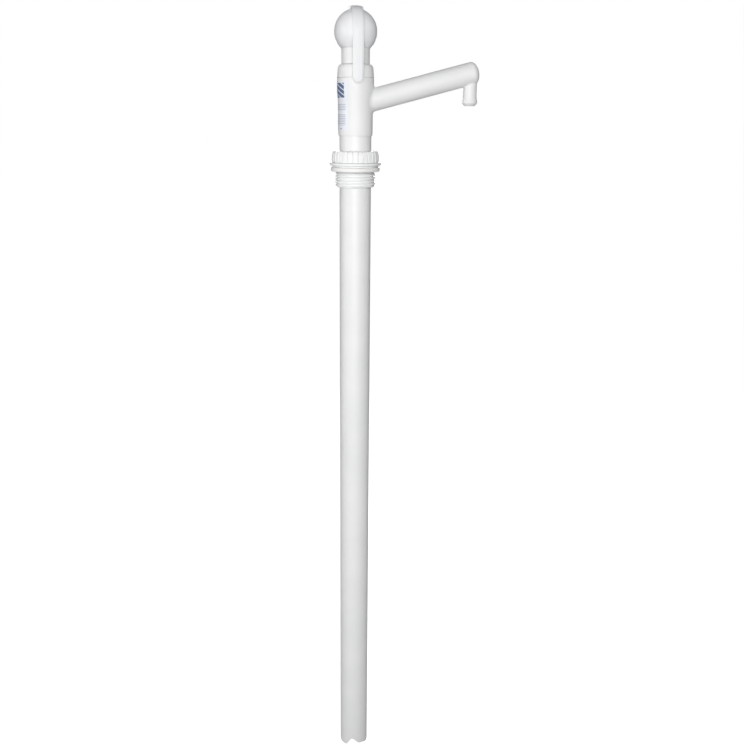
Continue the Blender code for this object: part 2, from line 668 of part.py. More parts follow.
suction_tube(barrel)
pump_body(barrel)
gland_cap(barrel)
gland_parts(barrel)
spout(barrel)
label(barrel)
foot_valve_housing(barrel)
foot_valve_ball(foot_flap)
grip(plunger)
piston(plunger, piston_seal)
piston_valve(piston_flap)
latch_strap(strap)
bung_adaptor(bung)
clamp_seal(collar)
thrust_washer(nut_carrier)
compression_nut(nut)
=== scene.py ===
"""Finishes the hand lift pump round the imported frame: moulded plastic shapes, seals, label and lighting.

Shapes are written in millimetres in the frame's own axes and turned into metres when a mesh is made.
The tube's axis is Z, the spout points along +X, and -Y is the side with the latch strap.
"""

import math

import bmesh
import bpy
from mathutils import Matrix, Vector


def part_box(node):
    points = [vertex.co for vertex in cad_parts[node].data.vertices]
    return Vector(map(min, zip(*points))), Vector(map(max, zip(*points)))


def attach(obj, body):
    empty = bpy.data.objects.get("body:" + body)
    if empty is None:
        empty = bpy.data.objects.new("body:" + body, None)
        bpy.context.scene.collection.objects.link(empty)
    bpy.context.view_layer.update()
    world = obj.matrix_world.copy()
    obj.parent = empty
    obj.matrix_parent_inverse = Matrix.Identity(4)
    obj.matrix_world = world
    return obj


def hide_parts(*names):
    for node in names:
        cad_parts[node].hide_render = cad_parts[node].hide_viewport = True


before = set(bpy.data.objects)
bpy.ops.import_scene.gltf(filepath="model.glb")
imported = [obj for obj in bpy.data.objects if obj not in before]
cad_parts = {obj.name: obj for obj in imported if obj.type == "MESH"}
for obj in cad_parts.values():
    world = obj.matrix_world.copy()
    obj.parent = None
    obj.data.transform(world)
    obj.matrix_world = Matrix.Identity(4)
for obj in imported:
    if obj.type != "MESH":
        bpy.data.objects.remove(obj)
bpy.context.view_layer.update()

MM = 0.001
TAU = math.tau


def corner(node, high):
    """A node's highest or lowest corner, in millimetres."""
    return [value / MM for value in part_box(node)[1 if high else 0]]


# Heights and radii. The ends that other pieces depend on come from the frame.
GAP = 0.3                     # clearance between neighbouring pieces
TUBE_BOTTOM = corner("tube_foot", False)[2]
TUBE_TOP = corner("suction_tube", True)[2]
TUBE_R = 24.15
TUBE_BORE_R = 21.25
BODY_BOTTOM = corner("pump_body", False)[2]
BODY_R = 26.1
BODY_CHAMFER_TOP = 59.5       # where the body starts to narrow towards its lower edge
BODY_BORE_R = 22.0
BODY_THROAT_R = 17.0
SOCKET_TOP = 78.6             # the roof of the body's socket for the tube
HEAD_R = 27.6
HEAD_LOW = 99.0               # the body swells from BODY_R to HEAD_R between these heights
HEAD_HIGH = 119.0
SEAM_Z = 136.0
SPIGOT_R = 25.0               # the body's collar inside the cap
SPIGOT_TOP = 148.7
BUSH_R = 20.0
BUSH_FLOOR = 128.7
CAP_TOP = corner("gland_cap", True)[2]
CAP_TOP_R = 26.7
CAP_ROUND = 4.6
CAP_DROP = 7.7                # how far down the cap's rounded shoulder reaches
ROD_R = 13.35
ROD_BORE_R = 10.5
ROD_TOP = 199.7
ROD_BOTTOM = corner("piston_rod", False)[2]
NECK_R = 21.1
NECK_TOP = 204.7
NECK_BOTTOM = corner("grip_neck", False)[2]
BALL_R = 31.7
BALL_Z = 201.0
PIN_R = 1.3
PIN_Y = -3.0
PIN_Z = 233.8
KNUCKLE_R = 2.9               # the strap's knuckle in its middle, and at its ends
KNUCKLE_END_R = 2.0
KNUCKLE_GROOVE_R = 3.3        # the groove in the ball's crest that the knuckle lies in
STRAP_HALF = 8.2              # half the strap's width
STRAP_IN_R = 32.4             # the strap's inner face round the ball
STRAP_LEAN = 3.2              # how far the strap's tip leans in towards the body
STRAP_TIP_Z = corner("latch_strap", False)[2]
EAR_INNER = 8.5               # an ear's two faces, from the strap's middle
EAR_OUTER = 11.0
SPOUT_ROOT_Z = 98.0           # where the arm's middle line leaves the tube's axis
SPOUT_RISE = math.radians(14.8)
ARM_R = 16.7
ARM_BORE_R = 14.0
ARM_LENGTH = 184.3
ARM_FILLET = 4.5
DOME_HEIGHT = 10.0
DOME_WALL = 2.7
NOZZLE_X = 175.8
NOZZLE_R = 10.25
NOZZLE_BORE_R = 6.5
NOZZLE_BORE_TOP = 134.0
NOZZLE_FILLET = 1.6
NOZZLE_BOTTOM = corner("outlet_nozzle", False)[2]
BEAD_R = NOZZLE_R + 1.35      # the bead that holds a hose
BEAD_LOW = 101.6
BEAD_HIGH = 103.2
THREAD_R = 30.2
THREAD_ROOT_R = 28.0
THREAD_PITCH = 4.5
THREAD_TOP = -1.0
THREAD_BOTTOM = -23.3
BOSS_R = 35.2                 # the step between flange and gasket
FLANGE_R = 39.1
FLANGE_LOW = 9.0
FLANGE_HIGH = 13.2
GASKET_R = 37.3
GASKET_TOP = 6.4
ADAPTOR_BORE_R = 24.45
ADAPTOR_TOP = 22.0
ADAPTOR_NECK_R = 30.0
ADAPTOR_RELIEF_R = 28.4       # the plain stretch between the boss and the thread
SEAL_POCKET_R = 27.9
SEAL_POCKET_FLOOR = 17.0
NUT_BOTTOM = corner("compression_nut", False)[2]
NUT_TOP = corner("compression_nut", True)[2]
NUT_RIBS = 28
NUT_RIB_R = 35.75
NUT_GROOVE = 2.2
NUT_CAVITY_R = 30.4
NUT_CAVITY_TOP = 26.2
VALVE_SEAT_R = 20.95
VALVE_SEAT_BORE_R = 11.0
VALVE_BALL_R = 13.0


# ---------------------------------------------------------------- camera, floor and light

camera_data = bpy.data.cameras.new("camera")
camera_data.lens = 42.91
camera_data.sensor_width = 36.0
camera_data.clip_start = 0.01
camera = bpy.data.objects.new("camera", camera_data)
bpy.context.scene.collection.objects.link(camera)
azimuth = math.radians(-8.2406)
pitch = math.radians(16.3059)
roll = math.radians(0.4952)
forward = Vector((-math.sin(azimuth) * math.cos(pitch),
                  math.cos(azimuth) * math.cos(pitch),
                  -math.sin(pitch)))
level = Vector((math.cos(azimuth), math.sin(azimuth), 0.0))
upright = level.cross(forward)
right = level * math.cos(roll) + upright * math.sin(roll)
up = upright * math.cos(roll) - level * math.sin(roll)
camera.matrix_world = Matrix((right, up, -forward)).transposed().to_4x4()
camera.location = (-0.1742, -1.4008, 0.0847)
bpy.context.scene.camera = camera


# Each soft lamp: its name, position, diameter, power and the point that it faces, in metres and watts.
LAMPS = (
    ("front", (-0.25, -1.9, 0.35), 1.2, 22.9, (0.0, 0.0, 0.1)),
    ("above", (-0.6, -1.0, 1.3), 0.6, 2.7, (0.0, 0.0, 0.15)),
    ("low", (-0.35, -1.9, -0.35), 0.9, 8.6, (0.0, 0.0, -0.42)),
    ("left", (-1.8, -0.6, 0.1), 0.8, 6.8, (0.0, 0.0, -0.1)),
    ("right", (1.3, -0.3, 0.7), 0.6, 1.6, (0.0, 0.0, 0.2)),
    ("behind", (0.29, 2.0, 0.3), 0.5, 30.0, (0.0, 0.0, 0.0)),
)
SKY = 0.20                    # what the surroundings give as light; the camera sees them white
FLOOR_SHADE = 0.5             # how light the floor is as a reflector
FLOOR_GLOW = 0.90             # what is added to it for the camera, so that it reads as pale


def seen_by_camera(tree, seen, unseen):
    """A number that is one value for what the camera sees directly and another for light and reflections."""
    strength = tree.nodes.new("ShaderNodeMapRange")
    strength.inputs["To Min"].default_value = unseen
    strength.inputs["To Max"].default_value = seen
    tree.links.new(tree.nodes.new("ShaderNodeLightPath").outputs["Is Camera Ray"], strength.inputs["Value"])
    return strength.outputs["Result"]


def studio_floor():
    """A wide pale floor just under the tube's foot."""
    half = 300.0
    height = TUBE_BOTTOM * MM - 0.0005
    corners = [(-half, -half, height), (half, -half, height), (half, half, height), (-half, half, height)]
    mesh = bpy.data.meshes.new("floor")
    mesh.from_pydata(corners, [], [(0, 1, 2, 3)])
    material = bpy.data.materials.new("floor_white")
    material.use_nodes = True
    tree = material.node_tree
    shader = tree.nodes["Principled BSDF"]
    shader.inputs["Base Color"].default_value = (FLOOR_SHADE, FLOOR_SHADE, FLOOR_SHADE, 1.0)
    shader.inputs["Roughness"].default_value = 1.0
    shader.inputs["Specular IOR Level"].default_value = 0.0
    shader.inputs["Emission Color"].default_value = (1.0, 1.0, 1.0, 1.0)
    tree.links.new(seen_by_camera(tree, FLOOR_GLOW, 0.0), shader.inputs["Emission Strength"])
    mesh.materials.append(material)
    floor = bpy.data.objects.new("floor", mesh)
    bpy.context.scene.collection.objects.link(floor)


def studio_light():
    """White surroundings and soft round lamps."""
    world = bpy.data.worlds.new("studio")
    world.use_nodes = True
    tree = world.node_tree
    background = tree.nodes["Background"]
    background.inputs["Color"].default_value = (1.0, 1.0, 1.0, 1.0)
    tree.links.new(seen_by_camera(tree, 1.0, SKY), background.inputs["Strength"])
    bpy.context.scene.world = world
    for name, position, size, power, target in LAMPS:
        data = bpy.data.lights.new(name, "AREA")
        data.shape = "DISK"
        data.size = size
        data.energy = power
        lamp = bpy.data.objects.new(name, data)
        lamp.location = position
        lamp.rotation_euler = (Vector(target) - Vector(position)).to_track_quat("-Z", "Y").to_euler()
        bpy.context.scene.collection.objects.link(lamp)


studio_floor()
studio_light()
bpy.context.scene.view_settings.view_transform = "Standard"


# ---------------------------------------------------------------- materials

SCUFF_DULLING = 0.22          # how much rougher a scuff is than the surface round it


def add_node(tree, kind, **settings):
    """A shader node; settings named after inputs set their values, and the rest are its properties."""
    node = tree.nodes.new(kind)
    for key, value in settings.items():
        label = key.replace("_", " ").title()
        if label in node.inputs:
            node.inputs[label].default_value = value
        else:
            setattr(node, key, value)
    return node


def noise(tree, vector, scale, detail=3.0, roughness=0.5, stretch=(1.0, 1.0, 1.0)):
    """Noise in metres of the object; stretch below 1 draws it out along that axis."""
    mapping = add_node(tree, "ShaderNodeMapping")
    mapping.inputs["Scale"].default_value = stretch
    tree.links.new(vector, mapping.inputs["Vector"])
    texture = add_node(tree, "ShaderNodeTexNoise", scale=scale, detail=detail, roughness=roughness)
    tree.links.new(mapping.outputs["Vector"], texture.inputs["Vector"])
    return texture.outputs["Fac"]


def ramp(tree, value, low, high, first, last):
    """Map a value from low..high to first..last, clamped."""
    node = add_node(tree, "ShaderNodeMapRange", from_min=low, from_max=high, to_min=first, to_max=last)
    tree.links.new(value, node.inputs["Value"])
    return node.outputs["Result"]


def blend_colours(tree, share, one, two):
    """A mix of two colours, each a tuple or a socket. Inputs 6 and 7 are a Mix node's colours."""
    node = tree.nodes.new("ShaderNodeMix")
    node.data_type = "RGBA"
    tree.links.new(share, node.inputs["Factor"])
    for socket, colour in ((node.inputs[6], one), (node.inputs[7], two)):
        if isinstance(colour, tuple):
            socket.default_value = (*colour, 1.0)
        else:
            tree.links.new(colour, socket)
    return node.outputs[2]


def add_bump(tree, heights, shader):
    """Stack (height socket, strength, distance) bumps on the shader's normal."""
    normal = None
    for height, strength, distance in heights:
        node = add_node(tree, "ShaderNodeBump", strength=strength, distance=distance)
        tree.links.new(height, node.inputs["Height"])
        if normal is not None:
            tree.links.new(normal, node.inputs["Normal"])
        normal = node.outputs["Normal"]
    tree.links.new(normal, shader.inputs["Normal"])


def moulded(name, base, shade, worn, roughness, grain=0.00004, streak=None, sheen=0.0):
    """Moulded or extruded plastic or rubber: mottled colour, uneven gloss, fine grain and light scuffs."""
    material = bpy.data.materials.new(name)
    material.use_nodes = True
    tree = material.node_tree
    shader = tree.nodes["Principled BSDF"]
    place = tree.nodes.new("ShaderNodeTexCoord").outputs["Object"]
    cloud = noise(tree, place, 18.0, 4.0, 0.55)
    colour = blend_colours(tree, ramp(tree, cloud, 0.35, 0.65, 0.0, 1.0), base, shade)
    scuff = noise(tree, place, 240.0, 5.0, 0.7, streak or (1.0, 1.0, 0.35))
    patch = noise(tree, place, 30.0, 2.0, 0.5)
    scuff_mask = tree.nodes.new("ShaderNodeMath")
    scuff_mask.operation = "MULTIPLY"
    tree.links.new(ramp(tree, scuff, 0.62, 0.74, 0.0, 1.0), scuff_mask.inputs[0])
    tree.links.new(ramp(tree, patch, 0.52, 0.68, 0.0, 1.0), scuff_mask.inputs[1])
    colour = blend_colours(tree, scuff_mask.outputs[0], colour, worn)
    tree.links.new(colour, shader.inputs["Base Color"])
    gloss = noise(tree, place, 70.0, 4.0, 0.6)
    gloss = ramp(tree, gloss, 0.3, 0.7, roughness - 0.05, roughness + 0.07)
    duller = tree.nodes.new("ShaderNodeMath")
    duller.operation = "MULTIPLY_ADD"
    duller.inputs[1].default_value = SCUFF_DULLING
    tree.links.new(scuff_mask.outputs[0], duller.inputs[0])
    tree.links.new(gloss, duller.inputs[2])
    tree.links.new(duller.outputs[0], shader.inputs["Roughness"])
    fine = noise(tree, place, 2600.0, 2.0, 0.5)
    wave = noise(tree, place, 45.0, 2.0, 0.5, streak or (1.0, 1.0, 1.0))
    add_bump(tree, [(wave, 0.25, 0.0003), (fine, 0.3, grain)], shader)
    shader.inputs["Sheen Weight"].default_value = sheen
    return material


WHITE = moulded("white_moulding", (0.79, 0.79, 0.79), (0.76, 0.765, 0.765), (0.65, 0.65, 0.64), 0.54)
FITTING_WHITE = moulded("fitting_white", (0.86, 0.86, 0.865), (0.83, 0.835, 0.84), (0.71, 0.71, 0.70), 0.54)
# The strap is the same white moulding, painted a little darker as shade against the front lamp's light on
# it.
STRAP_PAINTED_SHADE_WHITE = moulded("strap_white_painted_shade", (0.765, 0.77, 0.78), (0.735, 0.74, 0.75), (0.63, 0.63, 0.63), 0.54)
GLOSS_WHITE = moulded("grip_white", (0.80, 0.805, 0.82), (0.77, 0.775, 0.79), (0.66, 0.66, 0.66), 0.34)
PIPE = moulded("white_pipe", (0.80, 0.80, 0.80), (0.765, 0.77, 0.77), (0.65, 0.645, 0.635), 0.44,
               streak=(6.0, 6.0, 0.12))
GASKET = moulded("white_seal", (0.84, 0.835, 0.82), (0.79, 0.785, 0.77), (0.66, 0.65, 0.63), 0.6,
                 grain=0.00012, sheen=0.15)
RUBBER = moulded("dark_seal", (0.035, 0.035, 0.038), (0.05, 0.05, 0.052), (0.12, 0.12, 0.12), 0.62,
                 grain=0.00012, sheen=0.2)


def steel_material():
    """Drawn stainless wire: fine lines along the pin's length."""
    material = bpy.data.materials.new("steel_pin")
    material.use_nodes = True
    tree = material.node_tree
    shader = tree.nodes["Principled BSDF"]
    place = tree.nodes.new("ShaderNodeTexCoord").outputs["Object"]
    lines = noise(tree, place, 900.0, 3.0, 0.6, (0.05, 1.0, 1.0))
    colour = blend_colours(tree, lines, (0.52, 0.52, 0.53), (0.66, 0.66, 0.66))
    tree.links.new(colour, shader.inputs["Base Color"])
    tree.links.new(ramp(tree, lines, 0.3, 0.7, 0.22, 0.4), shader.inputs["Roughness"])
    add_bump(tree, [(lines, 0.3, 0.00003)], shader)
    shader.inputs["Metallic"].default_value = 1.0
    return material


STEEL = steel_material()
PAPER = moulded("label_sheet", (0.765, 0.785, 0.83), (0.745, 0.765, 0.81), (0.65, 0.67, 0.72), 0.38,
                grain=0.00002)
INK = moulded("label_ink", (0.085, 0.13, 0.25), (0.11, 0.155, 0.275), (0.22, 0.27, 0.33), 0.36,
              grain=0.00002)
PALE_INK = moulded("label_pale_ink", (0.42, 0.46, 0.55), (0.45, 0.49, 0.57), (0.52, 0.56, 0.62), 0.38,
                   grain=0.00002)


# ---------------------------------------------------------------- shape helpers

def fillet(points, steps=4):
    """Round the corners of an outline of (x, z, rounding); returns (x, z) points, in order."""
    result = []
    count = len(points)
    for index, (x, z, rounding) in enumerate(points):
        here = Vector((x, z))
        before = Vector(points[index - 1][:2]) - here
        after = Vector(points[(index + 1) % count][:2]) - here
        if rounding <= 0.0 or before.length == 0.0 or after.length == 0.0:
            result.append((x, z))
            continue
        half = before.angle(after) / 2
        reach = min(rounding / math.tan(half), before.length * 0.49, after.length * 0.49)
        radius = reach * math.tan(half)
        middle = here + (before.normalized() + after.normalized()).normalized() * (radius / math.sin(half))
        start = here + before.normalized() * reach - middle
        stop = here + after.normalized() * reach - middle
        turn = start.angle_signed(stop)
        for step in range(steps + 1):
            point = middle + Matrix.Rotation(-turn * step / steps, 2) @ start
            result.append((point.x, point.y))
    return result


def arc(centre, radius, first, last, steps):
    """Points of an arc, from first to last in degrees."""
    angles = [math.radians(first + (last - first) * step / steps) for step in range(steps + 1)]
    return [(centre[0] + radius * math.cos(a), centre[1] + radius * math.sin(a)) for a in angles]


def dome(flat, rounding, base, height, steps):
    """An outline from a dome's crown down to its base, elliptic outside a flat middle."""
    angles = [math.pi / 2 * step / steps for step in range(steps + 1)]
    return [(flat + rounding * math.sin(a), base + height * math.cos(a)) for a in angles]


def smoothstep(value):
    """0 below 0, 1 above 1, and an even S between."""
    value = max(0.0, min(1.0, value))
    return value * value * (3 - 2 * value)


def skin(shape, rings, wrap_rings=False):
    """Join rings of points with faces; a ring of one point is a pole. Returns the rings of vertices."""
    made = [[shape.verts.new(Vector(point) * MM) for point in ring] for ring in rings]
    pairs = list(zip(made, made[1:]))
    if wrap_rings:
        pairs.append((made[-1], made[0]))
    for one, two in pairs:
        count = max(len(one), len(two))
        for index in range(count):
            other = (index + 1) % count
            if len(one) == 1:
                corners = (one[0], two[other], two[index])
            elif len(two) == 1:
                corners = (one[index], one[other], two[0])
            else:
                corners = (one[index], one[other], two[other], two[index])
            shape.faces.new(corners)
    return made


def ring_at(radius, height, steps):
    """A level ring of points round the axis, or the one point on it."""
    if radius <= 1e-6:
        return [(0.0, 0.0, height)]
    return [(radius * math.cos(TAU * step / steps), radius * math.sin(TAU * step / steps), height)
            for step in range(steps)]


def turned(outline, steps=96, closed=True):
    """A turned shape from an outline of (radius, height)."""
    shape = bmesh.new()
    skin(shape, [ring_at(radius, height, steps) for radius, height in outline], wrap_rings=closed)
    return shape


def moved(shape, matrix):
    """Move a shape by a matrix whose lengths are millimetres."""
    matrix = matrix.copy()
    matrix.translation = matrix.translation * MM
    bmesh.ops.transform(shape, matrix=matrix, verts=shape.verts)
    return shape


def temporary(name, shape):
    """A plain object made from a shape, for a modifier to work on."""
    mesh = bpy.data.meshes.new(name)
    shape.to_mesh(mesh)
    shape.free()
    thing = bpy.data.objects.new(name, mesh)
    bpy.context.scene.collection.objects.link(thing)
    return thing


def merged(*shapes):
    """One shape from several."""
    whole = bmesh.new()
    for shape in shapes:
        mesh = bpy.data.meshes.new("merge")
        shape.to_mesh(mesh)
        shape.free()
        whole.from_mesh(mesh)
        bpy.data.meshes.remove(mesh)
    return whole


def piece(name, shape, material, body, nodes, sharp=40.0):
    """Make the object, smooth it, tie it to its body, and hide the frame's parts for the nodes that it
    stands for.
    """
    bmesh.ops.recalc_face_normals(shape, faces=shape.faces)
    mesh = bpy.data.meshes.new(name)
    shape.to_mesh(mesh)
    shape.free()
    mesh.shade_smooth()
    mesh.set_sharp_from_angle(angle=math.radians(sharp))
    for one in (material if isinstance(material, (list, tuple)) else (material,)):
        mesh.materials.append(one)
    thing = bpy.data.objects.new(name, mesh)
    bpy.context.scene.collection.objects.link(thing)
    weighted = thing.modifiers.new("weighted", "WEIGHTED_NORMAL")
    weighted.keep_sharp = True
    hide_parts(*nodes)
    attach(thing, body)


# ---------------------------------------------------------------- suction tube

NOTCH_HEIGHT = 14.0


def hump(turn, crown, half):
    """A smooth rise to 1 at its crown, over half this angle to each side."""
    return math.cos(math.pi / 2 * min(1.0, abs(turn - crown) / half)) ** 2


def notch_height(turn):
    """How high the foot is cut away, at an angle in degrees from a notch's crown."""
    return NOTCH_HEIGHT * hump(turn, 0.0, 29.0 if turn < 0.0 else 45.0) + 3.7 * hump(turn, 45.0, 25.0)


def foot_height(turn):
    """The tube's lower end at an angle about Z in radians; two notches, the first 15 degrees past -Y."""
    degrees = math.degrees(turn) + 90.0 + 15.0
    return TUBE_BOTTOM + notch_height((degrees + 90.0) % 180.0 - 90.0)


def suction_tube():
    """The long pipe, as one piece down to its notched foot."""
    steps = 192
    turns = [TAU * step / steps for step in range(steps)]
    heights = [TUBE_TOP, 49.0, 20.0, -30.0, -300.0, -600.0, -900.0, TUBE_BOTTOM + 30.0]
    rings = []
    # Outer wall, rounded lower edge, inner wall and rounded upper edge. Where the last value is true,
    # the height is counted from the notched foot.
    section = [(TUBE_R, height, False) for height in heights[1:]]
    section += [(TUBE_R, 0.5, True), (TUBE_R - 0.15, 0.15, True), (TUBE_R - 0.5, 0.0, True)]
    section += [(TUBE_BORE_R + 0.4, 0.0, True), (TUBE_BORE_R, 0.4, True)]
    section += [(TUBE_BORE_R, height, False) for height in heights[:0:-1]]
    section += [(TUBE_BORE_R, TUBE_TOP - 0.4, False), (TUBE_BORE_R + 0.4, TUBE_TOP, False),
                (TUBE_R - 0.4, TUBE_TOP, False), (TUBE_R, TUBE_TOP - 0.4, False)]
    for radius, height, follows in section:
        ring = []
        for turn in turns:
            z = foot_height(turn) + height if follows else height
            ring.append((radius * math.cos(turn), radius * math.sin(turn), z))
        rings.append(ring)
    shape = bmesh.new()
    skin(shape, rings, wrap_rings=True)
    piece("tube", shape, PIPE, "barrel", ["suction_tube", "tube_foot"])


# ---------------------------------------------------------------- body and cap

def body_radius(height):
    """The body's outer radius at a height, between its lower chamfer and the cap's seam."""
    return BODY_R + (HEAD_R - BODY_R) * smoothstep((height - HEAD_LOW) / (HEAD_HIGH - HEAD_LOW))


def pump_body():
    """The body, from the collar inside the cap down to the socket for the tube."""
    swell = [HEAD_HIGH + (HEAD_LOW - HEAD_HIGH) * step / 5 for step in range(6)]
    outer = [(SPIGOT_R, SPIGOT_TOP, 0.2), (SPIGOT_R, SEAM_Z, 0.0), (HEAD_R, SEAM_Z, 0.35)]
    outer += [(body_radius(height), height, 0.0) for height in swell]
    outer += [(BODY_R, BODY_CHAMFER_TOP, 3.0), (TUBE_R + 1.5, BODY_BOTTOM, 0.9),
              (TUBE_R + GAP, BODY_BOTTOM, 0.1)]
    inner = [(TUBE_R + GAP, SOCKET_TOP, 0.0), (BODY_BORE_R, SOCKET_TOP, 0.0), (BODY_BORE_R, 122.0, 0.0),
             (BODY_THROAT_R, 126.0, 0.0), (BODY_THROAT_R, BUSH_FLOOR, 0.0), (BUSH_R, BUSH_FLOOR, 0.0),
             (BUSH_R, SPIGOT_TOP, 0.2)]
    shape = turned(fillet(outer + inner), 128)
    piece("body", shape, WHITE, "barrel", ["pump_body"])


def gland_cap():
    """The cap over the body's collar, with a rounded shoulder and a hole for the rod."""
    hole = ROD_R + 0.35
    ceiling = SPIGOT_TOP + 0.5
    shoulder = dome(CAP_TOP_R - CAP_ROUND, CAP_ROUND, CAP_TOP - CAP_DROP, CAP_DROP, 14)
    rest = fillet([(CAP_TOP_R, CAP_TOP - CAP_DROP, 0.0), (HEAD_R, SEAM_Z + GAP, 0.35),
                   (SPIGOT_R + GAP, SEAM_Z + GAP, 0.0), (SPIGOT_R + GAP, ceiling, 0.0), (hole, ceiling, 0.2),
                   (hole, CAP_TOP, 0.6), (CAP_TOP_R - CAP_ROUND, CAP_TOP, 0.0)])
    piece("cap", turned(shoulder + rest[1:-1], 128), WHITE, "barrel", ["gland_cap"])


# ---------------------------------------------------------------- spout

ALONG_SPOUT = Matrix.Translation((0, 0, SPOUT_ROOT_Z)) @ Matrix.Rotation(math.pi / 2 - SPOUT_RISE, 4, "Y")


def outside_body(point):
    """How far a point lies outside the body's skin: negative inside it."""
    return math.hypot(point.x, point.y) - body_radius(point.z)


def outside_arm(point):
    """Roughly how far a point lies outside the arm's skin: negative inside it."""
    local = ALONG_SPOUT.inverted() @ point
    radius = math.hypot(local.x, local.y)
    if local.z <= ARM_LENGTH:
        return radius - ARM_R
    return ARM_R * (math.hypot(radius / ARM_R, (local.z - ARM_LENGTH) / DOME_HEIGHT) - 1.0)


def meet(matrix, radius, turn, start, stop, outside):
    """Where a line along a post's skin, at a radius and turn about its axis, meets a host's skin."""
    def at(depth):
        """The line's point at a depth along the post."""
        return matrix @ Vector((radius * math.cos(turn), radius * math.sin(turn), depth))

    for _ in range(40):
        middle = (start + stop) / 2
        if outside(at(middle)) > 0.0:
            start = middle
        else:
            stop = middle
    return at((start + stop) / 2)


def root_rings(matrix, radius, size, steps, start, stop, outside, sink):
    """Rings of a concave fillet between a post and its host, from the post's side out to the host."""
    axis = (matrix.to_3x3() @ Vector((0, 0, 1))).normalized() * (1 if start > stop else -1)
    spans = 6
    rings = [[] for _ in range(spans + 2)]
    for step in range(steps):
        turn = TAU * step / steps
        inner = meet(matrix, radius, turn, start, stop, outside)
        outer = meet(matrix, radius + size, turn, start, stop, outside)
        first = inner + axis * size
        for index in range(spans + 1):
            share = index / spans
            point = first * (1 - share) ** 2 + inner * 2 * share * (1 - share) + outer * share ** 2
            rings[index].append(point)
        rings[-1].append(outer + (outer - first).normalized() * sink)
    return rings


def placed_rings(matrix, outline, steps):
    """A ring for each (radius, depth) of an outline, round the axis of a matrix."""
    return [[matrix @ Vector(point) for point in ring_at(radius, depth, steps)] for radius, depth in outline]


def spout_arm():
    """The slanted arm: a closed dome at its end, and a fillet where it meets the body."""
    steps = 96
    plain = 60.0    # along the arm, where its root's fillet is behind it
    outline = dome(0.0, ARM_R, ARM_LENGTH, DOME_HEIGHT, 14) + [(ARM_R, 150.0), (ARM_R, 90.0), (ARM_R, plain)]
    bore = dome(0.0, ARM_BORE_R, ARM_LENGTH, DOME_HEIGHT - DOME_WALL, 10)
    bore += [(ARM_BORE_R, plain), (ARM_BORE_R, 24.0)]
    root = root_rings(ALONG_SPOUT, ARM_R, ARM_FILLET, steps, plain, 12.0, outside_body, 1.2)
    shape = bmesh.new()
    skin(shape, placed_rings(ALONG_SPOUT, outline, steps) + root
         + placed_rings(ALONG_SPOUT, bore[::-1], steps))
    piece("spout", shape, WHITE, "barrel", ["spout_arm"])


def nozzle():
    """The turned-down outlet, with a bead for a hose and a tapered tip."""
    steps = 64
    place = Matrix.Translation((NOZZLE_X, 0, 0))
    outline = [(NOZZLE_BORE_R, NOZZLE_BORE_TOP, 0.0), (NOZZLE_BORE_R, NOZZLE_BOTTOM + 2.6, 0.0),
               (NOZZLE_BORE_R - 0.5, NOZZLE_BOTTOM, 0.4), (NOZZLE_BORE_R + 0.9, NOZZLE_BOTTOM, 0.7),
               (NOZZLE_R - 0.65, BEAD_LOW - 2.4, 0.9), (BEAD_R, BEAD_LOW, 0.8), (BEAD_R, BEAD_HIGH, 0.8),
               (NOZZLE_R + 0.4, BEAD_HIGH + 5.3, 1.5), (NOZZLE_R, 112.0, 0.0)]
    root = root_rings(place, NOZZLE_R, NOZZLE_FILLET, steps, 115.0, 140.0, outside_arm, 0.8)
    shape = bmesh.new()
    skin(shape, placed_rings(place, fillet(outline), steps) + root, wrap_rings=True)
    piece("nozzle", shape, WHITE, "barrel", ["outlet_nozzle"])


# ---------------------------------------------------------------- label

def label():
    """A thin printed sheet; slanted bars and rules stand in for whatever a real one would say."""
    first, last = 120.0, 241.0    # degrees about Z
    low, high = 61.0, 131.5
    columns, rows = 121, 141
    plain, dark, pale = range(3)

    def ink(turn, height):
        """The place in the label's materials of what is printed at a turn in degrees and a height."""
        beside_bars = 107.5 <= height <= 128.5
        beside_rules = 68.0 <= height <= 84.5 or 90.0 <= height <= 99.5
        if beside_bars and 187.0 <= turn <= 225.0:
            return dark if (height + 0.25 * turn) % 7.0 < 5.4 else plain
        if beside_bars and 140.0 <= turn <= 176.0:
            return pale if (height - 0.25 * turn) % 7.0 < 3.5 else plain
        if beside_rules and 132.0 <= turn <= 229.0:
            return pale if height % 2.5 < 1.0 else plain
        in_dot = (turn - 208.0) ** 2 * 0.2 + (height - 62.9) ** 2 < 1.5
        return dark if in_dot else plain

    def at(column, row, lift):
        """A corner of the sheet's grid, lifted off the body's skin."""
        turn = math.radians(first + (last - first) * column / columns)
        height = low + (high - low) * row / rows
        radius = body_radius(height) + lift
        return (radius * math.cos(turn), radius * math.sin(turn), height)

    shape = bmesh.new()
    outer, inner = ([[shape.verts.new(Vector(at(column, row, lift)) * MM) for column in range(columns + 1)]
                     for row in range(rows + 1)] for lift in (0.3, 0.08))
    for row in range(rows):
        for column in range(columns):
            front = shape.faces.new((outer[row][column], outer[row][column + 1],
                                     outer[row + 1][column + 1], outer[row + 1][column]))
            front.material_index = ink(first + (last - first) * (column + 0.5) / columns,
                                       low + (high - low) * (row + 0.5) / rows)
            shape.faces.new((inner[row][column], inner[row + 1][column], inner[row + 1][column + 1],
                             inner[row][column + 1]))
    edge = [(0, column) for column in range(columns)] + [(row, columns) for row in range(rows)]
    edge += [(rows, column) for column in range(columns, 0, -1)]
    edge += [(row, 0) for row in range(rows, 0, -1)]
    for (row_a, col_a), (row_b, col_b) in zip(edge, edge[1:] + edge[:1]):
        shape.faces.new((outer[row_a][col_a], inner[row_a][col_a],
                         inner[row_b][col_b], outer[row_b][col_b]))
    piece("label", shape, (PAPER, INK, PALE_INK), "barrel", ["body_label"])


# ---------------------------------------------------------------- grip, rod and strap

ALONG_PIN = Matrix.Translation((0, PIN_Y, PIN_Z)) @ Matrix.Rotation(math.pi / 2, 4, "Y")


